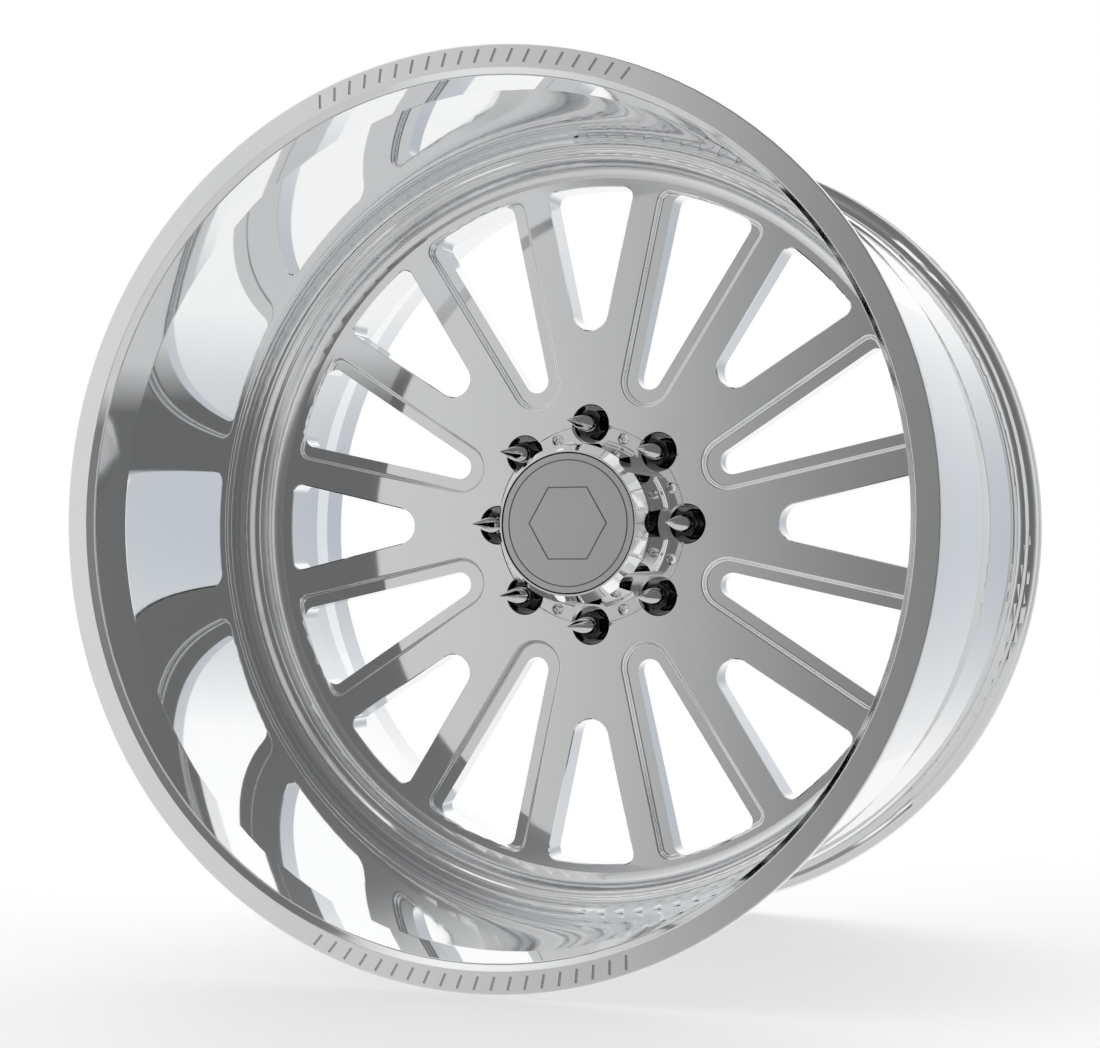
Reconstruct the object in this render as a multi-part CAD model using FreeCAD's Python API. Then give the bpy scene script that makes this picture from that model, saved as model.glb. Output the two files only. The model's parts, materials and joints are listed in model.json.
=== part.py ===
import FreeCAD, Part
import math
import os

# Forged 26 x 16 inch eight-lug wheel with a bolted centre cap and spiked lug nuts.
# Frame: the origin is the centre of the rim, Y is the wheel's axis with -Y outboard,
# and Z is up. Lengths are in millimetres. An azimuth is measured in the XZ plane,
# from +X towards +Z.

Vector = FreeCAD.Vector
ORIGIN = Vector(0, 0, 0)
X_AXIS = Vector(1, 0, 0)
Y_AXIS = Vector(0, 1, 0)
Z_AXIS = Vector(0, 0, 1)

# Rim
bead_seat_radius = 330.2        # 26 inch bead seat
width_between_beads = 406.4     # 16 inch rim width
flange_height = 17.5
flange_width = 15.2
flange_tip_radius = 9.0
flange_root_radius = 6.5
flange_edge_radius = 1.2
seat_width = 22.0
seat_taper = 5.0                # degrees
hump_height = 2.0
hump_width = 9.0
lip_wall = 5.1
flange_face_width = 17.2        # flat outer face of the outboard flange
lip_chamfer = 4.8               # 45 degree edge between the flange face and the lip
lip_flare_length = 39.0         # from the chamfer to the straight part of the lip
lip_blend_radius = 30.0

# Drop centre and inboard barrel
well_depth = 22.3               # from the barrel's outside down to the well floor
well_front_slope = 27.0         # axial length of the outboard shoulder
well_floor_width = 32.0
well_offset = 95.0              # from the inboard bead in to the well floor
well_step_height = 13.9         # steep part of the inboard well wall
well_step_width = 15.4
barrel_wall = 6.4
rear_wall = 5.5                 # at the inboard flange's root
rear_flare_inset = 13.2         # from the flange's edge in to the rear flare

# Disc
backspace = 142.4               # from the inboard flange face to the hub pad
disc_depth = 41.2               # from the hub pad to the flat face of the disc
disc_rim_thickness = 27.0
disc_hub_thickness = 20.5
cove_radius = 12.0
cove_wall_inset = 25.6          # from the bead seat radius in to the cove wall
shelf_height = 24.0             # flat shelf above the disc face
bead_ring_height = 6.2          # polished bead ring above the shelf
bead_ring_inset = 16.7
bead_ring_width = 8.0
window_margin = 6.9             # from the cove to the windows' outer ends

# Windows
spoke_pairs = 8
flare_plain = 12.87             # degrees, half angle of a plain window
plain_half_width = 17.4         # half width at plain_width_radius
plain_width_radius = 186.4
plain_tip_radius = 164.3        # radius from the axis to the inner tip
flare_stepped = 10.29
stepped_half_width = 19.8       # half width of the recess at stepped_width_radius
stepped_width_radius = 124.8
recess_depth = 5.7
ledge_width = 10.6
ledge_end_width = 13.5
window_corner_radius = 8.0
recess_tip_gap = 8.5            # from a lug pocket to the inner tip of a recess
recess_edge_radius = 2.2
recess_floor_radius = 2.0
window_edge_chamfer = 0.8

# Hub
lug_count = 8
bolt_circle_radius = 85.0       # 8 x 170
stud_hole_radius = 7.9
lug_pocket_radius = 16.0
lug_pocket_depth = 22.2
lug_pocket_chamfer = 0.8
hub_bore_inset = 22.4           # from the bolt circle in to the hub bore
hub_bore_depth = 26.0
hub_bore_chamfer = 1.0
pad_margin = 27.0               # from the bolt circle to the edge of the hub pad
pad_slope_width = 9.0           # between the pad and the back of the spokes
pad_pocket_radius = 12.5
pad_pocket_offset = 3.0         # from the bolt circle out to the pockets
pad_pocket_depth = 12.0

# Centre cap
cap_flange_thickness = 4.0
cap_flange_inset = 1.2          # from the bolt circle in to the flange's edge
cap_gap = 0.4
cap_wall_inset = 15.7           # from the bolt circle in to the foot of the cap wall
cap_wall_height = 40.7          # above the disc face
cap_wall_draft = 2.8
cap_bezel_height = 13.2
cap_bezel_width = 6.5
cap_rim_width = 1.3
cap_foot_radius = 3.5
cap_flute_radius = 21.0         # clearance for the lug socket
cap_bore_step = 2.0              # cap bore smaller in radius than the hub bore
cap_spigot_wall = 6.3
cap_crown_thickness = 4.0
cap_spigot_length = 9.2
cap_spigot_clearance = 0.3
o_ring_thickness = 2.2
o_ring_inset = 4.2              # from the recess floor to the o-ring's centre
o_ring_squeeze = 0.3
plate_thickness = 4.5
plate_setback = 0.6             # face plate below the bezel's rim
plate_seal_width = 1.1
seal_fit = 0.05
plate_groove_depth = 0.7
plate_groove_width = 1.1
plate_groove_inset = 5.0        # from the plate's edge in to its turned ring
plate_hexagon_radius = 30.0

# Cap screws, M5 button head
cap_screw_inset = 7.5           # from the bolt circle in to the screws
cap_screw_head_radius = 4.75
cap_screw_head_height = 2.6
cap_screw_core_radius = 2.05
cap_screw_length = 14.0
cap_screw_counterbore = 1.2
cap_screw_socket = 3.0
cap_screw_play = 0.6            # clearance holes in the cap
screw_clearance = 0.08

# Face plate screws, M4 button head
plate_screw_circle = 40.0
plate_screw_count = 4
plate_screw_head_radius = 4.0
plate_screw_head_height = 2.2
plate_screw_core_radius = 1.57
plate_screw_socket = 2.5
plate_screw_bite = 2.4          # how far the screws reach into the plate

# Lug nuts, M14 x 1.5, with screwed-on spikes
nut_flats = 20.0
nut_thread_radius = 6.19
nut_collar_rise = 2.9           # collar radius over half the flats
nut_seat_gap = 0.3
nut_hex_length = 26.9
nut_crown = 4.0                 # closed end over the stud thread
nut_boss_radius = 5.4
nut_boss_length = 9.5
spike_radius = 8.3
spike_skirt_length = 0.7
spike_height = 49.1
spike_bulge = 0.45
spike_foot_gap = 0.3            # between the spike's foot and the nut
spike_wall_gap = 0.1

# Tyre valve, clamp-in metal stem
valve_azimuth = 106.0
valve_hole_radius = 5.75
valve_head_radius = 8.5
valve_head_height = 3.0
valve_seal_height = 2.0
valve_neck_radius = 5.5
valve_stem_radius = 4.0
valve_stem_length = 35.0        # inwards from the barrel
valve_tip_radius = 3.85
valve_tip_length = 8.0
valve_air_radius = 1.9
valve_nut_flats = 13.0
valve_nut_height = 5.0
valve_washer_radius = 8.0
valve_washer_height = 1.5
valve_core_radius = 2.6
valve_core_length = 19.0
valve_core_fit = 0.05
valve_pin_radius = 0.6
valve_pin_fit = 0.06
valve_plug_radius = 1.5
valve_cap_radius = 5.2
valve_cap_length = 12.5
valve_cap_fit = 0.06
spring_chamber_radius = 1.25
spring_wire = 0.3
spring_radius = 0.95
spring_pitch = 1.6

# Engraved index marks on the outboard flange, top and bottom
mark_count = 20
mark_span = 42.5                # degrees
mark_length = 10.5
mark_width = 2.0
mark_depth = 0.5
mark_slant = 20.0

# Worked out from the sizes above
bead_y = width_between_beads / 2
rim_y = bead_y + flange_width
flange_radius = bead_seat_radius + flange_height
flange_flat_edge = flange_radius - flange_face_width
rear_flare_radius = flange_radius - rear_flare_inset
seat_end_y = bead_y - seat_width
barrel_radius = bead_seat_radius - seat_width * math.tan(math.radians(seat_taper))
lip_radius = barrel_radius - lip_wall
lip_start_radius = flange_flat_edge - lip_chamfer
lip_start_y = lip_chamfer - rim_y
pad_y = rim_y - backspace
face_y = pad_y - disc_depth
hub_bore_radius = bolt_circle_radius - hub_bore_inset
well_radius = barrel_radius - well_depth
well_end_y = bead_y - well_offset
well_start_y = well_end_y - well_floor_width
cove_wall_radius = bead_seat_radius - cove_wall_inset
window_outer_radius = cove_wall_radius - cove_radius - window_margin
bead_ring_radius = bead_seat_radius - bead_ring_inset
shelf_y = face_y - shelf_height
pad_radius = bolt_circle_radius + pad_margin
cap_flange_radius = bolt_circle_radius - cap_flange_inset
cap_seat_y = face_y + cap_flange_thickness
cap_bore_radius = hub_bore_radius - cap_bore_step
cap_wall_radius = bolt_circle_radius - cap_wall_inset
cap_top_y = face_y - cap_wall_height - cap_bezel_height
cap_spigot_radius = cap_bore_radius - cap_spigot_clearance
cap_inner_radius = cap_spigot_radius - cap_spigot_wall
cap_screw_radius = bolt_circle_radius - cap_screw_inset
bezel_radius = cap_wall_radius - cap_wall_draft - cap_bezel_width
plate_recess_radius = bezel_radius - cap_rim_width
plate_radius = plate_recess_radius - plate_seal_width
plate_y = cap_top_y + plate_setback
plate_back_y = plate_y + plate_thickness
nut_collar_radius = nut_flats / 2 + nut_collar_rise
lug_seat_radius = nut_collar_radius + nut_seat_gap
lug_seat_y = face_y + lug_pocket_depth
lug_seat_slope = math.tan(math.radians(30.0))
stud_hole_y = lug_seat_y + (lug_seat_radius - stud_hole_radius) / lug_seat_slope
nut_seat_y = lug_seat_y - nut_seat_gap
nut_hex_top_y = nut_seat_y - nut_hex_length
nut_boss_top_y = nut_hex_top_y - nut_boss_length
valve_y = well_start_y + well_floor_width / 2
valve_inside = well_radius - barrel_wall


def polygon_corner(before, corner, after, radius):
    """The two tangent points and the middle of the arc that rounds a corner."""
    back = (before - corner).normalize()
    ahead = (after - corner).normalize()
    half_angle = back.getAngle(ahead) / 2
    reach = radius / math.tan(half_angle)
    bisector = (back + ahead).normalize()
    centre = corner + bisector * (radius / math.sin(half_angle))
    return corner + back * reach, centre - bisector * radius, corner + ahead * reach


def rounded_face(corners):
    """A flat face in the XY plane from (x, y) or (x, y, radius) corners."""
    points = [Vector(corner[0], corner[1], 0) for corner in corners]
    radii = [corner[2] if len(corner) > 2 else 0 for corner in corners]
    count = len(points)
    edges = []
    ends = []
    for i, point in enumerate(points):
        if radii[i] <= 0:
            ends.append((point, point))
            continue
        start, middle, end = polygon_corner(points[i - 1], point, points[(i + 1) % count], radii[i])
        edges.append(Part.Arc(start, middle, end).toShape())
        ends.append((start, end))
    for i in range(count):
        start = ends[i][1]
        end = ends[(i + 1) % count][0]
        edges.append(Part.makeLine(start, end))
    wire = Part.Wire(Part.__sortEdges__(edges))
    return Part.Face(wire)


def turned(corners):
    """A solid of revolution about the wheel's axis from (radius, y) corners."""
    return rounded_face(corners).revolve(ORIGIN, Y_AXIS, 360)


def ring_cut(inner, outer, low_y, high_y):
    """A plain ring about the wheel's axis."""
    return turned([(inner, low_y), (outer, low_y), (outer, high_y), (inner, high_y)])


def drum(radius, low_y, high_y, x=0.0, z=0.0):
    """A cylinder along the wheel's axis."""
    return Part.makeCylinder(radius, high_y - low_y, Vector(x, low_y, z), Y_AXIS)


def spin(shape, azimuth):
    """A copy turned about the wheel's axis, from azimuth 0 to the given azimuth."""
    copy = shape.copy()
    copy.rotate(ORIGIN, Y_AXIS, -azimuth)
    return copy


def around(shape, count, first=0.0):
    """Evenly spaced copies about the wheel's axis."""
    return [spin(shape, first + 360.0 * i / count) for i in range(count)]


def hexagon(flats, low_y, high_y):
    """A hexagonal bar along the wheel's axis."""
    corner = flats / math.sqrt(3)
    points = []
    for i in range(7):
        angle = math.radians(60.0 * i)
        points.append(Vector(corner * math.cos(angle), low_y, corner * math.sin(angle)))
    face = Part.Face(Part.makePolygon(points))
    return face.extrude(Vector(0, high_y - low_y, 0))


def edges_at(shape, test):
    """The edges of a shape for which every end and the middle pass a test."""
    found = []
    for edge in shape.Edges:
        middle = edge.valueAt((edge.FirstParameter + edge.LastParameter) / 2)
        points = [vertex.Point for vertex in edge.Vertexes] + [middle]
        if all(test(point) for point in points):
            found.append(edge)
    return found


def save(name, shape):
    """Write one sub-part to its own STEP file."""
    shape.exportStep("parts/" + name + ".step")


def rim_section():
    """The rim and disc in section, as (radius, y, corner radius)."""
    hump_radius = barrel_radius + hump_height
    hump_y = seat_end_y - hump_width / 2
    barrel_y = seat_end_y - hump_width
    well_step_y = well_end_y + well_step_width
    well_step_radius = well_radius + well_step_height
    shoulder_y = well_start_y - well_front_slope
    ring_half = bead_ring_width / 2
    ring_y = shelf_y - bead_ring_height
    outside = [
        (flange_radius, -rim_y, flange_edge_radius),
        (flange_radius, -bead_y, flange_tip_radius),
        (bead_seat_radius, -bead_y, flange_root_radius),
        (barrel_radius, -seat_end_y, 3.0),
        (hump_radius, -hump_y, 3.0),
        (barrel_radius, -barrel_y, 3.0),
        (barrel_radius, shoulder_y, 14.0),
        (well_radius, well_start_y, 8.0),
        (well_radius, well_end_y, 8.0),
        (well_step_radius, well_step_y, 6.0),
        (barrel_radius, barrel_y, 3.0),
        (hump_radius, hump_y, 3.0),
        (barrel_radius, seat_end_y, 3.0),
        (bead_seat_radius, bead_y, flange_root_radius),
        (flange_radius, bead_y, flange_tip_radius),
        (flange_radius, rim_y, flange_edge_radius),
    ]
    inboard = [
        (rear_flare_radius, rim_y, 3.0),
        (bead_seat_radius - rear_wall, bead_y + 1.8, 8.0),
        (barrel_radius - lip_wall, barrel_y, 12.0),
        (well_step_radius - barrel_wall, well_step_y + 2.0, 10.0),
        (well_radius - barrel_wall, well_end_y + 3.0, 10.0),
        (well_radius - barrel_wall, face_y + disc_rim_thickness, 10.0),
        (pad_radius + pad_slope_width, face_y + disc_hub_thickness, 8.0),
        (pad_radius, pad_y, 2.0),
        (hub_bore_radius + hub_bore_chamfer, pad_y),
        (hub_bore_radius, pad_y - hub_bore_chamfer),
        (hub_bore_radius, pad_y - hub_bore_depth),
        (cap_bore_radius, pad_y - hub_bore_depth),
        (cap_bore_radius, cap_seat_y, 0),
        (cap_flange_radius + cap_gap, cap_seat_y, 0),
        (cap_flange_radius + cap_gap, face_y, 0),
    ]
    outboard = [
        (cove_wall_radius, face_y, cove_radius),
        (cove_wall_radius + 0.6, shelf_y, 1.8),
        (bead_ring_radius - ring_half, shelf_y, 1.5),
        (bead_ring_radius - 1.8, ring_y, 2.0),
        (bead_ring_radius + 1.8, ring_y, 2.0),
        (bead_ring_radius + ring_half, shelf_y, 1.5),
        (lip_radius, shelf_y, 4.0),
        (lip_radius, lip_start_y + lip_flare_length, lip_blend_radius),
        (lip_start_radius, lip_start_y, 3.0),
        (flange_flat_edge, -rim_y, 0.6),
    ]
    return outside + inboard + outboard


def tapered_tool(tip, half_width, width_radius, flare, low_y, high_y):
    """A wedge along azimuth 0 with a round inner tip and a concentric outer end."""
    slope = math.tan(math.radians(flare))
    cosine = math.cos(math.radians(flare))
    base = half_width - slope * width_radius
    centre = (tip + cosine * base) / (1 - cosine * slope)
    radius = centre - tip
    far = window_outer_radius + 2 * window_corner_radius
    tangent_x = centre - radius * math.sin(math.radians(flare))
    tangent_z = radius * cosine
    far_z = base + slope * far
    lower = Vector(tangent_x, low_y, -tangent_z)
    upper = Vector(tangent_x, low_y, tangent_z)
    edges = [
        Part.Arc(lower, Vector(tip, low_y, 0), upper).toShape(),
        Part.makeLine(upper, Vector(far, low_y, far_z)),
        Part.makeLine(Vector(far, low_y, far_z), Vector(far, low_y, -far_z)),
        Part.makeLine(Vector(far, low_y, -far_z), lower),
    ]
    wedge = Part.Face(Part.Wire(edges)).extrude(Vector(0, high_y - low_y, 0))
    tool = wedge.common(drum(window_outer_radius, low_y, high_y))
    corners = []
    for edge in tool.Edges:
        ends = [vertex.Point for vertex in edge.Vertexes]
        along_axis = len(ends) == 2 and abs(ends[0].y - ends[1].y) > (high_y - low_y) / 2
        if along_axis and math.hypot(ends[0].x, ends[0].z) > window_outer_radius - 1:
            corners.append(edge)
    return tool.makeFillet(window_corner_radius, corners)


def recess_tool():
    """The shallow step around a stepped window, with a rounded floor."""
    floor_y = face_y + recess_depth
    tool = tapered_tool(
        stepped_tip_radius(),
        stepped_half_width,
        stepped_width_radius,
        flare_stepped,
        face_y - 5.0,
        floor_y,
    )
    floor_edges = edges_at(tool, lambda point: abs(point.y - floor_y) < 0.01)
    return tool.makeFillet(recess_floor_radius, floor_edges)


def stepped_tip_radius():
    """Inner tip of the recess, kept clear of the lug pockets."""
    return bolt_circle_radius + lug_pocket_radius + recess_tip_gap


def window_tools():
    """Everything that is cut through the disc between the spokes."""
    back_y = pad_y + 5.0
    plain = tapered_tool(
        plain_tip_radius,
        plain_half_width,
        plain_width_radius,
        flare_plain,
        face_y - 5.0,
        back_y,
    )
    ledge_offset = ledge_width / math.cos(math.radians(flare_stepped))
    hole = tapered_tool(
        stepped_tip_radius() + ledge_end_width,
        stepped_half_width - ledge_offset,
        stepped_width_radius,
        flare_stepped,
        face_y - 5.0,
        back_y,
    )
    offset = 180.0 / spoke_pairs
    recesses = around(recess_tool(), spoke_pairs, offset)
    return around(plain, spoke_pairs), recesses, around(hole, spoke_pairs, offset)


def lug_tool():
    """One stud hole with its conical seat and socket pocket."""
    section = [
        (0, face_y - 5.0),
        (lug_pocket_radius + lug_pocket_chamfer, face_y - 5.0),
        (lug_pocket_radius + lug_pocket_chamfer, face_y),
        (lug_pocket_radius, face_y + lug_pocket_chamfer),
        (lug_pocket_radius, lug_seat_y),
        (lug_seat_radius, lug_seat_y),
        (stud_hole_radius, stud_hole_y),
        (stud_hole_radius, pad_y + 5.0),
        (0, pad_y + 5.0),
    ]
    tool = turned(section)
    tool.translate(Vector(bolt_circle_radius, 0, 0))
    return tool


def hub_tools():
    """Lug seats, tapped cap screw holes and the pad's lightening pockets."""
    half_pitch = 180.0 / lug_count
    tap_radius = cap_screw_core_radius + screw_clearance
    tapped = drum(tap_radius, face_y, cap_seat_y + cap_screw_length, cap_screw_radius)
    floor_y = pad_y - pad_pocket_depth
    pocket = drum(pad_pocket_radius, floor_y, pad_y + 5.0, bolt_circle_radius + pad_pocket_offset)
    floor_edges = edges_at(pocket, lambda point: abs(point.y - floor_y) < 0.01)
    pocket = pocket.makeFillet(2.0, floor_edges)
    tools = around(lug_tool(), lug_count)
    tools += around(tapped, lug_count, half_pitch)
    tools += around(pocket, lug_count, half_pitch)
    return tools


def mark_tools():
    """Slanted index marks engraved in two arcs of the outboard flange face."""
    middle_radius = flange_radius - flange_face_width / 2
    bar = Part.makeBox(mark_length, mark_depth * 2, mark_width)
    bar.translate(Vector(-mark_length / 2, -mark_depth, -mark_width / 2))
    bar.rotate(ORIGIN, Y_AXIS, mark_slant)
    bar.translate(Vector(middle_radius, -rim_y, 0))
    step = mark_span / (mark_count - 1)
    tools = []
    for middle in (90.0, 270.0):
        for i in range(mark_count):
            tools.append(spin(bar, middle - mark_span / 2 + step * i))
    return tools


def along_valve(shape):
    """Place a valve piece, made along Z from the wheel's centre, at its azimuth."""
    copy = shape.copy()
    copy.rotate(ORIGIN, Y_AXIS, 90.0 - valve_azimuth)
    copy.translate(Vector(0, valve_y, 0))
    return copy


def stem_section(corners):
    """A solid of revolution about Z from (radius, z) corners."""
    points = [Vector(radius, 0, z) for radius, z in corners]
    points.append(points[0])
    return Part.Face(Part.makePolygon(points)).revolve(ORIGIN, Z_AXIS, 360)


def tube_z(inner, outer, low, high):
    """A tube along Z, or a rod when the inner radius is 0."""
    return stem_section([(inner, low), (outer, low), (outer, high), (inner, high)])


def valve_hole_tools():
    """The valve hole and a spot face on each side of the barrel."""
    hole = tube_z(0, valve_hole_radius, valve_inside - 10.0, well_radius + 10.0)
    inner_face = tube_z(0, valve_washer_radius + 1.5, valve_inside - 5.0, valve_inside + 0.3)
    outer_face = tube_z(0, valve_head_radius + 1.5, well_radius - 0.3, well_radius + 5.0)
    return [along_valve(tool) for tool in (hole, inner_face, outer_face)]


def forged_wheel():
    """Barrel, lip, disc and hub, forged and machined from one blank."""
    wheel = turned(rim_section())
    plain, recesses, holes = window_tools()
    wheel = wheel.cut(recesses)
    recess_edges = edges_at(wheel, lambda point: on_face_between(point, stepped_tip_radius()))
    wheel = wheel.makeFillet(recess_edge_radius, recess_edges)
    wheel = wheel.cut(plain + holes)
    face_edges = edges_at(wheel, lambda point: on_face_between(point, plain_tip_radius))
    plain_edges = [edge for edge in face_edges if is_plain_azimuth(edge.Vertexes[0].Point)]
    wheel = wheel.makeChamfer(window_edge_chamfer, plain_edges)
    wheel = wheel.cut(hub_tools())
    wheel = wheel.cut(mark_tools())
    return wheel.cut(valve_hole_tools())


def on_face_between(point, inner):
    """Whether a point on the disc face lies from an inner radius to the windows' ends."""
    radius = math.hypot(point.x, point.z)
    return abs(point.y - face_y) < 0.01 and inner - 1 < radius < window_outer_radius + 1


def is_plain_azimuth(point):
    """Whether a point on the disc face belongs to a plain window."""
    pitch = 360.0 / spoke_pairs
    azimuth = math.degrees(math.atan2(point.z, point.x)) % pitch
    radius = math.hypot(point.x, point.z)
    slope = math.tan(math.radians(flare_plain))
    half = plain_half_width + slope * (radius - plain_width_radius)
    limit = math.degrees(math.atan2(half, radius)) + 0.5
    return min(azimuth, pitch - azimuth) < limit


def cap_body():
    """Fluted, bevelled cap shell with its flange and the spigot that centres it."""
    spigot_end = cap_seat_y + cap_spigot_length
    groove_y = cap_seat_y + o_ring_inset
    groove_half = o_ring_thickness / 2 + 0.1
    groove_radius = cap_spigot_radius - o_ring_thickness + o_ring_squeeze
    wall_top_y = face_y - cap_wall_height
    crown_back_y = plate_back_y + cap_crown_thickness
    section = [
        (0, plate_back_y),
        (plate_recess_radius, plate_back_y),
        (plate_recess_radius, cap_top_y),
        (bezel_radius, cap_top_y, 0.5),
        (cap_wall_radius - cap_wall_draft, wall_top_y, 0.8),
        (cap_wall_radius, face_y, cap_foot_radius),
        (cap_flange_radius, face_y, 0.6),
        (cap_flange_radius, cap_seat_y),
        (cap_spigot_radius, cap_seat_y),
        (cap_spigot_radius, groove_y - groove_half),
        (groove_radius, groove_y - groove_half),
        (groove_radius, groove_y + groove_half),
        (cap_spigot_radius, groove_y + groove_half),
        (cap_spigot_radius, spigot_end, 0.8),
        (cap_inner_radius, spigot_end),
        (cap_inner_radius, crown_back_y, 4.0),
        (0, crown_back_y),
    ]
    body = turned(section)
    flute = drum(cap_flute_radius, cap_top_y - 5.0, face_y, bolt_circle_radius)
    scallop_radius = lug_pocket_radius + lug_pocket_chamfer + cap_gap
    scallop = drum(scallop_radius, cap_top_y - 5.0, cap_seat_y + 0.01, bolt_circle_radius)
    half_pitch = 180.0 / lug_count
    hole_radius = cap_screw_core_radius + cap_screw_play
    hole = drum(hole_radius, face_y - 5.0, cap_seat_y + 1.0, cap_screw_radius)
    seat_radius = cap_screw_head_radius + 0.4
    seat = drum(seat_radius, face_y - 5.0, face_y + cap_screw_counterbore, cap_screw_radius)
    plate_hole_radius = plate_screw_core_radius + cap_screw_play
    plate_hole = drum(plate_hole_radius, plate_back_y - 1.0, crown_back_y + 1.0, plate_screw_circle)
    tools = around(flute, lug_count) + around(scallop, lug_count)
    tools += around(hole, lug_count, half_pitch) + around(seat, lug_count, half_pitch)
    tools += around(plate_hole, plate_screw_count, 45.0)
    return body.cut(tools)


def cap_face_plate():
    """Round inset plate with a turned ring and a plain hexagon engraved in its face."""
    plate = turned([
        (0, plate_y),
        (plate_radius, plate_y, 0.4),
        (plate_radius, plate_back_y),
        (0, plate_back_y),
    ])
    floor_y = plate_y + plate_groove_depth
    ring_radius = plate_radius - plate_groove_inset
    ring = ring_cut(ring_radius - plate_groove_width, ring_radius, plate_y - 1.0, floor_y)
    wide = hexagon(2 * plate_hexagon_radius, plate_y - 1.0, floor_y)
    narrow = hexagon(2 * (plate_hexagon_radius - plate_groove_width), plate_y - 2.0, floor_y + 1.0)
    tap_radius = plate_screw_core_radius + screw_clearance
    tap_end_y = plate_back_y - plate_screw_bite - 0.2
    tapped = drum(tap_radius, tap_end_y, plate_back_y + 1.0, plate_screw_circle)
    return plate.cut([ring, wide.cut(narrow)] + around(tapped, plate_screw_count, 45.0))


def cap_face_seal():
    """Rubber ring that fills the gap between the face plate and the bezel."""
    inner = plate_radius + seal_fit
    outer = plate_recess_radius - seal_fit
    return ring_cut(inner, outer, plate_y + 0.2, plate_back_y)


def cap_o_ring():
    """Rubber ring in the spigot's groove."""
    groove_radius = cap_spigot_radius - o_ring_thickness + o_ring_squeeze
    section_radius = o_ring_thickness / 2 - seal_fit
    centre_radius = groove_radius + seal_fit + section_radius
    centre = Vector(centre_radius, cap_seat_y + o_ring_inset, 0)
    circle = Part.Wire(Part.makeCircle(section_radius, centre, Z_AXIS))
    return Part.Face(circle).revolve(ORIGIN, Y_AXIS, 360)


def button_screw(head_radius, head_height, core_radius, length, socket_flats):
    """A button head screw along +Y whose head rests on y = 0."""
    dome = head_height * 0.75
    section = [
        (0, -head_height),
        (head_radius * 0.5, -head_height, 0.3),
        (head_radius, -head_height + dome, 0.2),
        (head_radius, 0),
        (core_radius, 0),
        (core_radius, length, 0.4),
        (0, length),
    ]
    return turned(section).cut(hexagon(socket_flats, -head_height - 1.0, -head_height * 0.4))


def cap_screws():
    """The eight button head screws that hold the cap's flange to the disc."""
    length = cap_flange_thickness - cap_screw_counterbore + cap_screw_length - 1.0
    screw = button_screw(
        cap_screw_head_radius,
        cap_screw_head_height,
        cap_screw_core_radius,
        length,
        cap_screw_socket,
    )
    screw.translate(Vector(cap_screw_radius, face_y + cap_screw_counterbore, 0))
    return Part.makeCompound(around(screw, lug_count, 180.0 / lug_count))


def cap_plate_screws():
    """Four screws that hold the face plate from inside the cap."""
    screw = button_screw(
        plate_screw_head_radius,
        plate_screw_head_height,
        plate_screw_core_radius,
        cap_crown_thickness + plate_screw_bite,
        plate_screw_socket,
    )
    screw.rotate(ORIGIN, X_AXIS, 180)
    screw.translate(Vector(plate_screw_circle, plate_back_y + cap_crown_thickness, 0))
    return Part.makeCompound(around(screw, plate_screw_count, 45.0))


def lug_nut():
    """Hexagonal nut with a conical seat and a threaded boss for its spike."""
    half_flats = nut_flats / 2
    cone_top_y = nut_seat_y + 0.35
    tip_radius = stud_hole_radius + 0.4
    tip_y = cone_top_y + (nut_collar_radius - tip_radius) / lug_seat_slope
    body = hexagon(nut_flats, nut_hex_top_y, nut_seat_y - 2.0)
    rounding = turned([
        (0, nut_hex_top_y),
        (half_flats, nut_hex_top_y),
        (half_flats + 1.8, nut_hex_top_y + 1.2),
        (half_flats + 1.8, nut_seat_y),
        (0, nut_seat_y),
    ])
    collar = turned([
        (0, nut_seat_y - 3.5),
        (half_flats + 1.0, nut_seat_y - 3.5),
        (nut_collar_radius, nut_seat_y - 1.5),
        (nut_collar_radius, cone_top_y),
        (tip_radius, tip_y),
        (0, tip_y),
    ])
    boss = turned([
        (0, nut_boss_top_y),
        (nut_boss_radius, nut_boss_top_y, 0.8),
        (nut_boss_radius, nut_hex_top_y + 1.0),
        (0, nut_hex_top_y + 1.0),
    ])
    bore_y = nut_hex_top_y + nut_crown
    bore = turned([
        (0, bore_y - nut_thread_radius * 0.3),
        (nut_thread_radius, bore_y),
        (nut_thread_radius, tip_y + 1.0),
        (0, tip_y + 1.0),
    ])
    return body.common(rounding).fuse([collar, boss]).removeSplitter().cut(bore)


def spike_cap():
    """Long chromed spike that screws onto the boss of its nut."""
    foot_y = nut_hex_top_y - spike_foot_gap
    base_y = foot_y - spike_skirt_length
    tip = Vector(0, base_y - spike_height, 0)
    shoulder = Vector(spike_radius, base_y, 0)
    along = (shoulder - tip).normalize()
    outward = Vector(-along.y, along.x, 0) * -1
    middle = (tip + shoulder) * 0.5 + outward * spike_bulge
    foot = Vector(spike_radius, foot_y, 0)
    centre = Vector(0, foot_y, 0)
    edges = [
        Part.Arc(tip, middle, shoulder).toShape(),
        Part.makeLine(shoulder, foot),
        Part.makeLine(foot, centre),
        Part.makeLine(centre, tip),
    ]
    spike = Part.Face(Part.Wire(edges)).revolve(ORIGIN, Y_AXIS, 360)
    cavity_radius = nut_boss_radius + spike_wall_gap
    return spike.cut(drum(cavity_radius, nut_boss_top_y - spike_foot_gap, foot_y + 1.0))


def valve_levels():
    """Radii from the wheel's axis of the valve's main steps."""
    outer_seat = well_radius - 0.3
    inner_seat = valve_inside + 0.3
    head_seat = outer_seat + valve_seal_height
    end = inner_seat - valve_stem_length
    return outer_seat, inner_seat, head_seat, end


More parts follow.
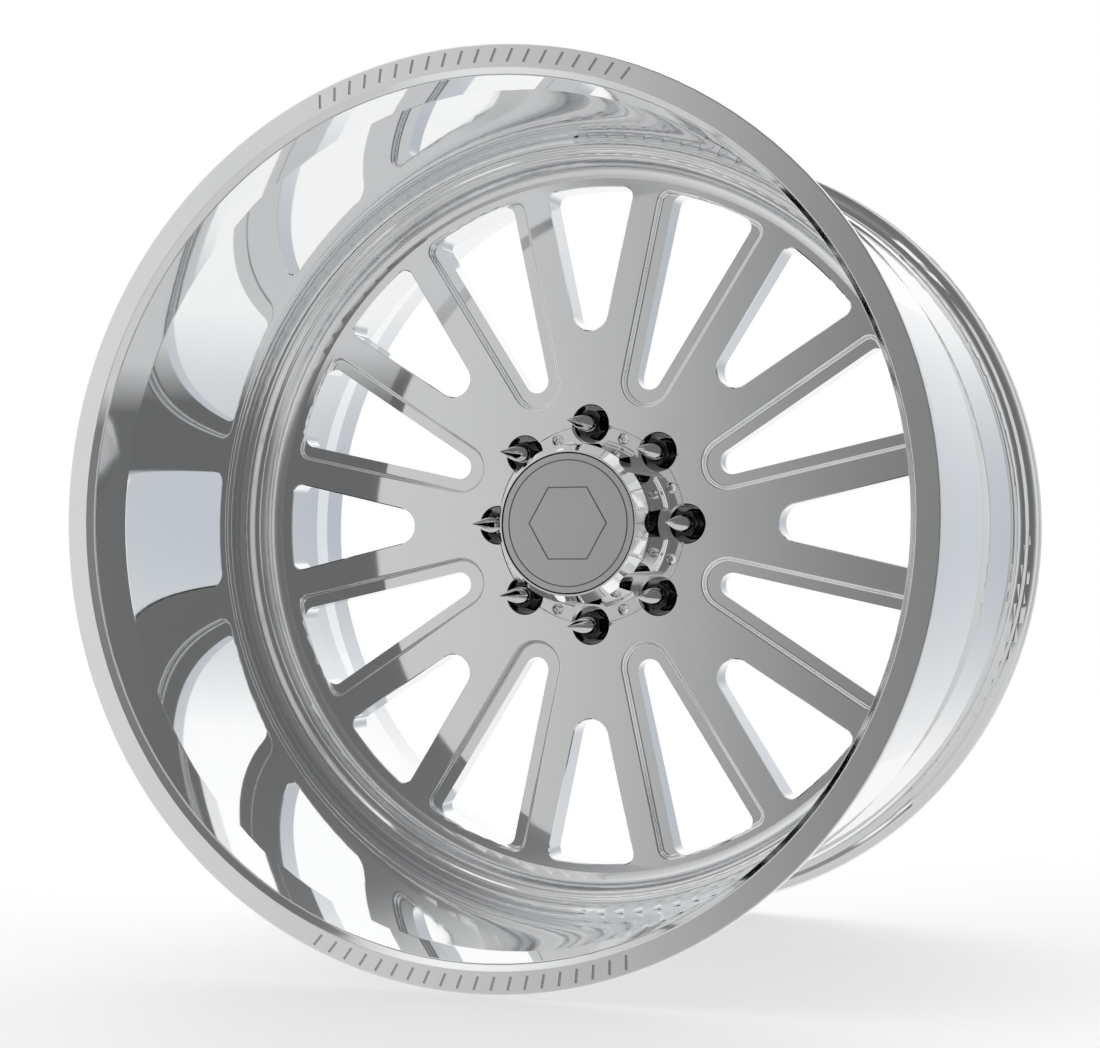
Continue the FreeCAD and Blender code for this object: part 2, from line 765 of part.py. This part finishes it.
def valve_stem():
    """Hollow clamp-in stem with its head on the tyre side."""
    outer_seat, inner_seat, head_seat, end = valve_levels()
    chamber = valve_core_radius + valve_core_fit
    chamber_end = end + valve_core_length + 8.0
    tip_end = end + valve_tip_length
    top = head_seat + valve_head_height
    stem = stem_section([
        (valve_air_radius, chamber_end + 1.0),
        (chamber, chamber_end),
        (chamber, end),
        (valve_tip_radius - 0.4, end),
        (valve_tip_radius, end + 0.4),
        (valve_tip_radius, tip_end),
        (valve_stem_radius, tip_end + 0.5),
        (valve_stem_radius, inner_seat - 0.5),
        (valve_neck_radius, inner_seat + 0.2),
        (valve_neck_radius, head_seat),
        (valve_head_radius, head_seat),
        (valve_head_radius, top - 1.0),
        (valve_head_radius - 1.0, top),
        (valve_air_radius, top),
    ])
    return along_valve(stem)


def valve_seal():
    """Rubber washer between the stem's head and the barrel."""
    outer_seat, inner_seat, head_seat, end = valve_levels()
    return along_valve(tube_z(valve_neck_radius + 0.05, valve_head_radius - 0.2, outer_seat, head_seat))


def valve_washer():
    """Plain washer under the clamping nut."""
    outer_seat, inner_seat, head_seat, end = valve_levels()
    washer = tube_z(valve_neck_radius + 0.1, valve_washer_radius, inner_seat - valve_washer_height, inner_seat)
    return along_valve(washer)


def valve_nut():
    """Hexagonal nut that clamps the stem."""
    outer_seat, inner_seat, head_seat, end = valve_levels()
    top = inner_seat - valve_washer_height
    bar = hexagon(valve_nut_flats, 0, valve_nut_height)
    bar.rotate(ORIGIN, X_AXIS, 90)
    bar.translate(Vector(0, 0, top - valve_nut_height))
    return along_valve(bar.cut(tube_z(0, valve_stem_radius + 0.05, top - 10.0, top + 5.0)))


def valve_core():
    """Screwed core that guides the pin."""
    end = valve_levels()[3]
    guide = valve_pin_radius + valve_pin_fit
    core_end = end + valve_core_length
    core = stem_section([
        (guide, end + 2.0),
        (valve_core_radius - 0.3, end + 2.0),
        (valve_core_radius, end + 2.3),
        (valve_core_radius, core_end),
        (spring_chamber_radius, core_end),
        (spring_chamber_radius, end + 6.0),
        (guide, end + 6.0),
    ])
    return along_valve(core)


def valve_core_pin():
    """Pin with its plug, which closes the core from the tyre side."""
    end = valve_levels()[3]
    plug = end + valve_core_length + 0.15
    pin = stem_section([
        (0, end + 0.6),
        (valve_pin_radius, end + 0.6),
        (valve_pin_radius, plug),
        (valve_plug_radius, plug + 0.4),
        (valve_plug_radius, plug + 2.4),
        (0, plug + 3.0),
    ])
    return along_valve(pin)


def valve_core_spring():
    """Coil spring around the pin, inside the core."""
    end = valve_levels()[3]
    helix = Part.makeHelix(spring_pitch, 6 * spring_pitch, spring_radius)
    profile = Part.Wire(Part.makeCircle(spring_wire / 2, Vector(spring_radius, 0, 0), Y_AXIS))
    spring = Part.Wire(helix.Edges).makePipeShell([profile], True, True)
    spring.translate(Vector(0, 0, end + 6.6))
    return along_valve(spring)


def valve_cap():
    """Knurled cap that screws over the stem's tip."""
    end = valve_levels()[3]
    mouth = end + valve_tip_length - 0.4
    bottom = mouth - valve_cap_length
    bore = valve_tip_radius + valve_cap_fit
    cap = stem_section([
        (0, bottom),
        (valve_cap_radius - 0.8, bottom),
        (valve_cap_radius, bottom + 0.8),
        (valve_cap_radius, mouth),
        (bore, mouth),
        (bore, end - 1.2),
        (0, end - 1.2),
    ])
    flute = tube_z(0, 0.45, bottom + 2.0, mouth + 1.0)
    flute.translate(Vector(valve_cap_radius + 0.15, 0, 0))
    flutes = []
    for i in range(18):
        copy = flute.copy()
        copy.rotate(ORIGIN, Z_AXIS, 20.0 * i)
        flutes.append(copy)
    return along_valve(cap.cut(flutes))


def valve_cap_gasket():
    """Rubber disc that seals the cap against the stem's end."""
    end = valve_levels()[3]
    return along_valve(tube_z(0, valve_tip_radius - 0.1, end - 1.2, end - 0.3))


os.makedirs("parts", exist_ok=True)

single_parts = {
    "forged_wheel": forged_wheel,
    "cap_body": cap_body,
    "cap_face_plate": cap_face_plate,
    "cap_face_seal": cap_face_seal,
    "cap_o_ring": cap_o_ring,
    "cap_screws": cap_screws,
    "cap_plate_screws": cap_plate_screws,
    "valve_stem": valve_stem,
    "valve_seal": valve_seal,
    "valve_washer": valve_washer,
    "valve_nut": valve_nut,
    "valve_core": valve_core,
    "valve_core_pin": valve_core_pin,
    "valve_core_spring": valve_core_spring,
    "valve_cap": valve_cap,
    "valve_cap_gasket": valve_cap_gasket,
}
for name, build in single_parts.items():
    save(name, build())

for name, build in {"lug_nut": lug_nut, "spike_cap": spike_cap}.items():
    piece = build()
    piece.translate(Vector(bolt_circle_radius, 0, 0))
    for i, copy in enumerate(around(piece, lug_count)):
        save(name + "_" + str(i + 1), copy)
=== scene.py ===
import json
import math

import bpy
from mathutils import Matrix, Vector


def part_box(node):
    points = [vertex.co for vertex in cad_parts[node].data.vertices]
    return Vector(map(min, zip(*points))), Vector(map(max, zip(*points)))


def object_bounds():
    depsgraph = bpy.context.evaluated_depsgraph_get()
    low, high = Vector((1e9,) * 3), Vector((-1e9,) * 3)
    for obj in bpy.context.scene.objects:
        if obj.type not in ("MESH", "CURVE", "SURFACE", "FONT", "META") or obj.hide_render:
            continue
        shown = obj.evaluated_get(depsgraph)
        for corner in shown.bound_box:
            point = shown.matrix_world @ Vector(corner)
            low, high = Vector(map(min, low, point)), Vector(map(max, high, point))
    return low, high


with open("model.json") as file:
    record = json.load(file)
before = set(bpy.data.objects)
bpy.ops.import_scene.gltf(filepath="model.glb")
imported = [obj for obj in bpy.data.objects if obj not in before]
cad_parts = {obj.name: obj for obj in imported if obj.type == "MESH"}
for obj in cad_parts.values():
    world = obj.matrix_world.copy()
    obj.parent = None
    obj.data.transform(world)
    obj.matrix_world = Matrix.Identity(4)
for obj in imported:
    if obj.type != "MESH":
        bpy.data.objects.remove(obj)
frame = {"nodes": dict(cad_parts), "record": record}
cad_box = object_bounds()
NODES = frame["nodes"]

# ---------------------------------------------------------------- sizes that the finishes follow, in metres
LOW, HIGH = cad_box
RADIUS = (HIGH.x - LOW.x) / 2
CAP_SPIGOT = 0.0132             # from the disc's flat face to the inner end of the cap's spigot
DISC_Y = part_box("cap_body")[1].y - CAP_SPIGOT
FLANGE_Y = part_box("forged_wheel")[0].y
PLATE_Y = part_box("cap_face_plate")[0].y
FACE_DEPTH, FACE_SOFT = 0.0006, 0.0004      # depth and soft edge of a finish that lies on one flat face
BARREL_START = 0.012            # behind the disc's face, where the rear of the wheel starts
BARREL_INSIDE = 0.318           # radius inside which the rear of the wheel is bare machined metal
LUG_COUNT, LUG_CIRCLE = 8, 0.085
POCKET_RADIUS = 0.0163
POCKET_START, POCKET_END, POCKET_SOFT = 0.0012, 0.06, 0.0006    # behind the disc's face
GROOVE_START, GROOVE_END, GROOVE_SOFT = 0.0003, 0.0008, 0.0001  # behind the cap plate's face

# Rings about the wheel's axis with a finish of their own: radii, depths, soft edge of each.
COVE = (0.2935, 0.3058), (0.0115, DISC_Y - FACE_DEPTH), (0.001, 0.001)
BEAD = (0.3092, 0.3180), (0.0036, 0.0105), (0.0005, 0.001)
MARK_FLOORS = (0.3315, 0.3460), (FLANGE_Y + 0.0003, FLANGE_Y + 0.0007), (0.0002, 0.0001)

WHITE = (1, 1, 1, 1)


# ---------------------------------------------------------------- node helpers
class Tree:
    """A node tree with short calls to add and link nodes."""

    def __init__(self, tree):
        self.tree = tree
        tree.nodes.clear()

    def feed(self, socket, value):
        """Links a socket to another one, or sets a constant on it."""
        if isinstance(value, bpy.types.NodeSocket):
            self.tree.links.new(value, socket)
        else:
            socket.default_value = value

    def add(self, kind, sockets=None, **settings):
        node = self.tree.nodes.new(kind)
        for name, value in settings.items():
            setattr(node, name, value)
        for key, value in (sockets or {}).items():
            self.feed(node.inputs[key], value)
        return node

    def math(self, operation, *values, clamp=False):
        sockets = dict(enumerate(values))
        return self.add("ShaderNodeMath", sockets, operation=operation, use_clamp=clamp).outputs[0]

    def length(self, first, second):
        """Length of the flat vector (first, second)."""
        squares = [self.math("MULTIPLY", value, value) for value in (first, second)]
        return self.math("SQRT", self.math("ADD", *squares))

    def parts(self, vector):
        """The X, Y and Z of a vector."""
        return self.add("ShaderNodeSeparateXYZ", {0: vector}).outputs

    def mix(self, factor, first, second, blend="MIX"):
        """A colour mix of two sockets or values."""
        sockets = {0: factor, 6: first, 7: second}
        return self.add("ShaderNodeMix", sockets, data_type="RGBA", blend_type=blend).outputs[2]

    def noise(self, vector, scale, detail, roughness=0.5):
        sockets = {"Vector": vector, "Scale": scale, "Detail": detail, "Roughness": roughness}
        return self.add("ShaderNodeTexNoise", sockets).outputs["Fac"]

    def object_coordinates(self):
        return self.add("ShaderNodeTexCoord").outputs["Object"]

    def band(self, value, low, high, soft):
        """1 where low < value < high, falling to 0 over a soft edge."""
        rise = self.math("MULTIPLY_ADD", value, 1.0 / soft, -low / soft + 1.0, clamp=True)
        fall = self.math("MULTIPLY_ADD", value, -1.0 / soft, high / soft + 1.0, clamp=True)
        return self.math("MULTIPLY", rise, fall)

    def ring(self, radius, y, radii, depths, soft):
        """1 in a ring between two radii and two depths, falling to 0 over soft edges."""
        return self.math("MULTIPLY", self.band(radius, *radii, soft[0]), self.band(y, *depths, soft[1]))

    def ramp(self, factor, stops, interpolation="EASE"):
        node = self.add("ShaderNodeValToRGB", {0: factor})
        node.color_ramp.interpolation = interpolation
        elements = node.color_ramp.elements
        while len(elements) < len(stops):
            elements.new(0.5)
        for element, (position, value) in zip(elements, stops):
            element.position = position
            colour = value if isinstance(value, tuple) else (value, value, value)
            element.color = (*colour, 1.0)
        return node.outputs[0]


def new_material(name):
    material = bpy.data.materials.new(name)
    material.use_nodes = True
    return material, Tree(material.node_tree)


def finish_material(t, colour, roughness, normal=None, **constants):
    """The Principled shader at the end of every material."""
    sockets = {"Base Color": colour, "Roughness": roughness}
    if normal is not None:
        sockets["Normal"] = normal
    for name, value in constants.items():
        sockets[name.replace("_", " ")] = value
    shader = t.add("ShaderNodeBsdfPrincipled", sockets)
    t.add("ShaderNodeOutputMaterial", {0: shader.outputs[0]})


# ---------------------------------------------------------------- camera
AZIMUTH, ELEVATION = 21.87, -1.27           # degrees
DISTANCE = 4.999                            # this and the shifts are in wheel radii
SIDE_SHIFT, UP_SHIFT = -0.061, -0.001
LENS, SENSOR_WIDTH = 68.6, 36.0             # millimetres

turn, tilt = math.radians(AZIMUTH), math.radians(ELEVATION)
back = Vector((math.sin(turn) * math.cos(tilt), -math.cos(turn) * math.cos(tilt), math.sin(tilt)))
right = Vector((math.cos(turn), math.sin(turn), 0.0))
camera_data = bpy.data.cameras.new("camera")
camera_data.lens = LENS
camera_data.sensor_width = SENSOR_WIDTH
camera = bpy.data.objects.new("camera", camera_data)
camera.location = RADIUS * (back * DISTANCE + right * SIDE_SHIFT + Vector((0, 0, UP_SHIFT)))
camera.rotation_mode = "QUATERNION"
camera.rotation_quaternion = (-back).to_track_quat("-Z", "Y")
bpy.context.scene.collection.objects.link(camera)
bpy.context.scene.camera = camera

# ---------------------------------------------------------------- studio
# Horizontal brightness of the studio as mirrored by the metal: angle from -Y towards -X, in degrees.
STUDIO = [
    (-180, 1.0), (-150, 1.0), (-140, 0.60), (-118, 0.32), (-100, 0.85), (-80, 0.60), (-58, 0.15),
    (-15, 0.15), (0, 0.17), (10, 0.19), (15, 0.25), (21, 0.56), (28, 0.64), (35, 0.70), (50, 0.85),
    (75, 0.90), (95, 0.35), (112, 0.40), (130, 1.0), (150, 1.0), (180, 1.0),
]
LOW_PANEL = 0.66                # brightness of the panel below the dark side of the studio
LOW_PANEL_TOP, LOW_PANEL_FADE = 0.25, 0.11      # sines: where it starts below the horizon, and its fade
SPOT_ANGLE, SPOT_WIDTH, SPOT_HEIGHT = -158.0, 24.0, 0.42        # a grey spot: degrees, degrees, sine
SPOT_COLOUR = (0.50, 0.54, 0.58, 1)
LIFT = 0.10                     # the studio is a little brighter above than below

world = bpy.data.worlds.new("studio")
bpy.context.scene.world = world
world.use_nodes = True
w = Tree(world.node_tree)
x, y, z = w.parts(w.add("ShaderNodeTexCoord").outputs["Generated"])
angle = w.math("ARCTAN2", w.math("MULTIPLY", x, -1.0), w.math("MULTIPLY", y, -1.0))
share = w.math("MULTIPLY_ADD", angle, 0.5 / math.pi, 0.5)
around = w.ramp(share, [(0.5 + degrees / 360.0, value) for degrees, value in STUDIO], "B_SPLINE")

below = w.math("MULTIPLY_ADD", z, -1.0 / LOW_PANEL_FADE, -LOW_PANEL_TOP / LOW_PANEL_FADE, clamp=True)
around = w.mix(below, around, (LOW_PANEL, LOW_PANEL, LOW_PANEL, 1), "LIGHTEN")

offset = w.math("MULTIPLY_ADD", angle, 180.0 / math.pi / SPOT_WIDTH, -SPOT_ANGLE / SPOT_WIDTH)
across = w.math("SUBTRACT", 1.0, w.math("POWER", w.math("ABSOLUTE", offset), 2.0), clamp=True)
height = w.math("DIVIDE", w.math("ABSOLUTE", z), SPOT_HEIGHT)
level = w.math("SUBTRACT", 1.0, w.math("POWER", height, 2.0), clamp=True)
shaded = w.mix(w.math("MULTIPLY", across, level), around, SPOT_COLOUR)

strength = w.math("MULTIPLY_ADD", z, LIFT, 1.0)
background = w.add("ShaderNodeBackground", {"Color": shaded, "Strength": strength})
white = w.add("ShaderNodeBackground", {"Color": WHITE, "Strength": 1.0})
seen = w.add("ShaderNodeLightPath").outputs["Is Camera Ray"]
mixed = w.add("ShaderNodeMixShader", {0: seen, 1: background.outputs[0], 2: white.outputs[0]})
w.add("ShaderNodeOutputWorld", {0: mixed.outputs[0]})

bpy.context.scene.view_settings.view_transform = "Standard"

# ---------------------------------------------------------------- floor
FLOOR_SIZE = 14.0
FLOOR_GAP = 0.0002
FLOOR_GLOW = 0.40
PAPER_SHADES = [(0.3, 0.92), (0.7, 0.935)]

bpy.ops.mesh.primitive_plane_add(size=FLOOR_SIZE, location=(0, 0, LOW.z - FLOOR_GAP))
floor = bpy.context.object
floor.name = "floor"
floor.visible_glossy = False
floor_material, f = new_material("floor_white")
paper = f.noise(f.object_coordinates(), scale=3.0, detail=2.0)
finish_material(f, f.ramp(paper, PAPER_SHADES), roughness=0.85,
                Specular_IOR_Level=0.2, Emission_Color=WHITE, Emission_Strength=FLOOR_GLOW)
floor.data.materials.append(floor_material)


# ---------------------------------------------------------------- surface detail
SMUDGE_DETAIL, SMUDGE_ROUGHNESS = 5.0, 0.62
SCRATCH_TURNS = (17.0, 74.0, 131.0)         # degrees
SCRATCH_STRETCH, SCRATCH_THINNESS = 0.03, 90.0


def smudges(t, coordinates, scale):
    """Slow variation, as hand polishing and fingerprints leave."""
    return t.noise(coordinates, scale, SMUDGE_DETAIL, SMUDGE_ROUGHNESS)


def turned_lines(t, coordinates, axis_scale, pitch):
    """Fine rings about the wheel's axis, uneven in depth, as a lathe tool leaves."""
    px, py, pz = t.parts(coordinates)
    radius = t.length(px, pz)
    line = {0: t.math("DIVIDE", radius, pitch), 1: t.math("MULTIPLY", py, axis_scale)}
    stretched = t.add("ShaderNodeCombineXYZ", line).outputs[0]
    return t.noise(stretched, scale=1.0, detail=3.0, roughness=0.7), radius, py


def scratches(t, coordinates, scale):
    """Sparse hairlines in several directions: narrow bands of a stretched noise."""
    total = None
    for degrees in SCRATCH_TURNS:
        mapping = t.add("ShaderNodeMapping", {
            "Vector": coordinates,
            "Rotation": (0.0, math.radians(degrees), 0.0),
            "Scale": (scale, scale, scale * SCRATCH_STRETCH),
        })
        noise = t.noise(mapping.outputs[0], scale=1.0, detail=1.0)
        from_middle = t.math("ABSOLUTE", t.math("SUBTRACT", noise, 0.5))
        line = t.math("SUBTRACT", 1.0, t.math("MULTIPLY", from_middle, SCRATCH_THINNESS), clamp=True)
        total = line if total is None else t.math("MAXIMUM", total, line)
    return total


def bump(t, relief, strength, distance):
    node = t.add("ShaderNodeBump", {"Height": relief, "Strength": strength, "Distance": distance})
    return node.outputs[0]


def pocket_painted_shade(t, coordinates):
    """1 inside the lug pockets, where the forging's colour is darkened as painted shade."""
    px, py, pz = t.parts(coordinates)
    half_pitch = math.pi / LUG_COUNT
    folded = t.math("PINGPONG", t.math("ARCTAN2", pz, px), half_pitch)
    radius = t.length(px, pz)
    along = t.math("SUBTRACT", t.math("MULTIPLY", radius, t.math("COSINE", folded)), LUG_CIRCLE)
    side = t.math("MULTIPLY", radius, t.math("SINE", folded))
    near = t.math("LESS_THAN", t.length(along, side), POCKET_RADIUS)
    deep = t.band(py, DISC_Y + POCKET_START, DISC_Y + POCKET_END, POCKET_SOFT)
    return t.math("MULTIPLY", near, deep)


# ---------------------------------------------------------------- materials
# Roughness of the forging's finishes.
MIRROR = 0.018
SMUDGED, SCRATCHED, TURNED = 0.022, 0.03, 0.020     # added where it is smudged, scratched or turned
COVE_ROUGHNESS, BEAD_ROUGHNESS = 0.24, 0.20
MACHINED = (0.10, 0.06)                             # this and the next: added by lines, and the least
SATIN = (0.12, 0.10)
FLANGE_LINES, MIRROR_LINES = 0.30, 0.006            # height of the turned lines: satin face, elsewhere
SCRATCH_HEIGHT = -0.01

# Colours: a list is darkest to lightest; a pair is how much of a colour goes over the rest.
FORGING_SHADES = [(0.25, (0.905, 0.915, 0.925)), (0.75, (0.935, 0.94, 0.945))]
SCRATCH_SHADE = 0.10, (0.80, 0.81, 0.82, 1)
MARK_SHADE = 0.75, (0.30, 0.30, 0.31, 1)
# painted shade: how dark the colour is made inside the lug pockets
POCKET_PAINTED_SHADE = 0.55, (0.10, 0.10, 0.105, 1)
# painted shade: how dark the colour is made in the groove of the cap plate
GROOVE_PAINTED_SHADE = 0.8, (0.12, 0.12, 0.125, 1)
PLATE_SHADES = [(0.3, (0.61, 0.615, 0.62)), (0.7, (0.67, 0.675, 0.68))]
RUBBER_SHADES = [(0.45, (0.006, 0.006, 0.006)), (0.85, (0.03, 0.03, 0.028))]


def tint(t, mask, shade, colour):
    """The colour with a shade over it where a mask is 1."""
    amount, other = shade
    return t.mix(t.math("MULTIPLY", mask, amount), colour, other)


def forging():
    """Mirror polished forging: turned satin flange face, fine lines on the disc, bright lip."""
    material, t = new_material("polished_forging")
    c = t.object_coordinates()
    lines, radius, py = turned_lines(t, c, axis_scale=3.0, pitch=0.00045)
    cloud = smudges(t, c, scale=9.0)
    hair = scratches(t, c, scale=300.0)

    on_flange = t.band(py, FLANGE_Y, FLANGE_Y + FACE_DEPTH, FACE_SOFT)
    on_disc = t.band(py, DISC_Y - FACE_DEPTH, DISC_Y + FACE_DEPTH, FACE_SOFT)
    back_side = t.math("GREATER_THAN", py, DISC_Y + BARREL_START)
    inside = t.math("MULTIPLY", back_side, t.math("LESS_THAN", radius, BARREL_INSIDE))
    cove = t.ring(radius, py, *COVE)
    bead = t.ring(radius, py, *BEAD)
    mark_floors = t.ring(radius, py, *MARK_FLOORS)

    roughness = t.math("MULTIPLY_ADD", cloud, SMUDGED, MIRROR)
    roughness = t.math("MULTIPLY_ADD", hair, SCRATCHED, roughness)
    roughness = t.math("MULTIPLY_ADD", on_disc, TURNED, roughness)
    machined = t.math("MULTIPLY_ADD", lines, *MACHINED)
    satin = t.math("MULTIPLY_ADD", lines, *SATIN)
    least_by_mask = (cove, COVE_ROUGHNESS), (bead, BEAD_ROUGHNESS), (inside, machined), (on_flange, satin)
    for mask, least in least_by_mask:
        roughness = t.math("MAXIMUM", roughness, t.math("MULTIPLY", mask, least))

    colour = t.ramp(cloud, FORGING_SHADES)
    colour = tint(t, hair, SCRATCH_SHADE, colour)
    colour = tint(t, mark_floors, MARK_SHADE, colour)
    # painted shade: the forging's colour is darkened inside the lug pockets
    colour = tint(t, pocket_painted_shade(t, c), POCKET_PAINTED_SHADE, colour)

    depth = t.math("MULTIPLY_ADD", on_flange, FLANGE_LINES, MIRROR_LINES)
    relief = t.math("MULTIPLY_ADD", lines, depth, t.math("MULTIPLY", hair, SCRATCH_HEIGHT))
    finish_material(t, colour, roughness, bump(t, relief, strength=0.35, distance=0.00005), Metallic=1.0)
    return material


def chrome(name, bright, rough, tint_spread=0.02):
    """Plated finish with smudges and polishing hairlines."""
    material, t = new_material(name)
    c = t.object_coordinates()
    cloud = smudges(t, c, scale=35.0)
    hair = scratches(t, c, scale=900.0)
    low = tuple(max(0.0, value - tint_spread) for value in bright)
    scratched = 0.12, (*[value * 0.9 for value in bright], 1)
    colour = tint(t, hair, scratched, t.ramp(cloud, [(0.3, low), (0.7, bright)]))
    clean = t.math("MULTIPLY_ADD", hair, 0.05, rough * 0.6)
    roughness = t.math("MULTIPLY_ADD", cloud, rough, clean)
    finish_material(t, colour, roughness, bump(t, hair, strength=0.02, distance=0.00003), Metallic=1.0)
    return material


def turned_plate():
    """Satin face plate with fine lathe rings, and painted shade darkening the groove behind its face."""
    material, t = new_material("cap_plate")
    c = t.object_coordinates()
    lines, _, py = turned_lines(t, c, axis_scale=1.0, pitch=0.00022)
    cloud = smudges(t, c, scale=22.0)
    blend = t.math("MULTIPLY_ADD", cloud, 0.35, t.math("MULTIPLY", lines, 0.65))
    groove = t.band(py, PLATE_Y + GROOVE_START, PLATE_Y + GROOVE_END, GROOVE_SOFT)
    # painted shade: the plate's colour is darkened on the groove behind its face
    colour = tint(t, groove, GROOVE_PAINTED_SHADE, t.ramp(blend, PLATE_SHADES))
    smudged = t.math("MULTIPLY_ADD", cloud, 0.05, 0.17)
    roughness = t.math("MULTIPLY_ADD", lines, 0.14, smudged)
    finish_material(t, colour, roughness, bump(t, lines, strength=0.12, distance=0.00003), Metallic=1.0)
    return material


def grained_metal(name, dark, light, rough, scale):
    """Small hardware in zinc, nickel or brass, with a fine uneven grain of a given scale."""
    material, t = new_material(name)
    c = t.object_coordinates()
    grain = t.noise(c, scale, detail=6.0, roughness=0.7)
    cloud = smudges(t, c, scale=60.0)
    blend = t.math("MULTIPLY_ADD", grain, 0.5, t.math("MULTIPLY", cloud, 0.5))
    colour = t.ramp(blend, [(0.3, dark), (0.7, light)])
    roughness = t.math("MULTIPLY_ADD", grain, 0.10, rough)
    finish_material(t, colour, roughness, bump(t, grain, strength=0.10, distance=0.00005), Metallic=1.0)
    return material


def rubber():
    """Matt black seal rubber with a fine moulded texture and a little dust."""
    material, t = new_material("black_rubber")
    c = t.object_coordinates()
    grain = t.noise(c, scale=1800.0, detail=3.0)
    dust = smudges(t, c, scale=120.0)
    roughness = t.math("MULTIPLY_ADD", grain, 0.2, 0.5)
    normal = bump(t, grain, strength=0.3, distance=0.00008)
    finish_material(t, t.ramp(dust, RUBBER_SHADES), roughness, normal, Specular_IOR_Level=0.35)
    return material


MATERIALS = {
    "polished_forging": forging(),
    "cap_chrome": chrome("cap_chrome", (0.93, 0.935, 0.94), rough=0.020),
    "cap_plate": turned_plate(),
    "nut_chrome": chrome("nut_chrome", (0.055, 0.056, 0.060), rough=0.05, tint_spread=0.015),
    "spike_chrome": chrome("spike_chrome", (0.90, 0.905, 0.915), rough=0.022),
    "bright_steel": grained_metal("bright_steel", (0.70, 0.70, 0.71), (0.84, 0.84, 0.85), 0.09, 1500.0),
    "valve_metal": grained_metal("valve_metal", (0.66, 0.66, 0.65), (0.80, 0.80, 0.80), 0.12, 1200.0),
    "core_brass": grained_metal("core_brass", (0.66, 0.47, 0.19), (0.82, 0.64, 0.32), 0.16, 1600.0),
    "black_rubber": rubber(),
}
SLOTS = {part["node"]: part["material_slot"] for part in frame["record"]["subparts"]}
for name, node in NODES.items():
    node.data.materials.clear()
    node.data.materials.append(MATERIALS[SLOTS[name]])
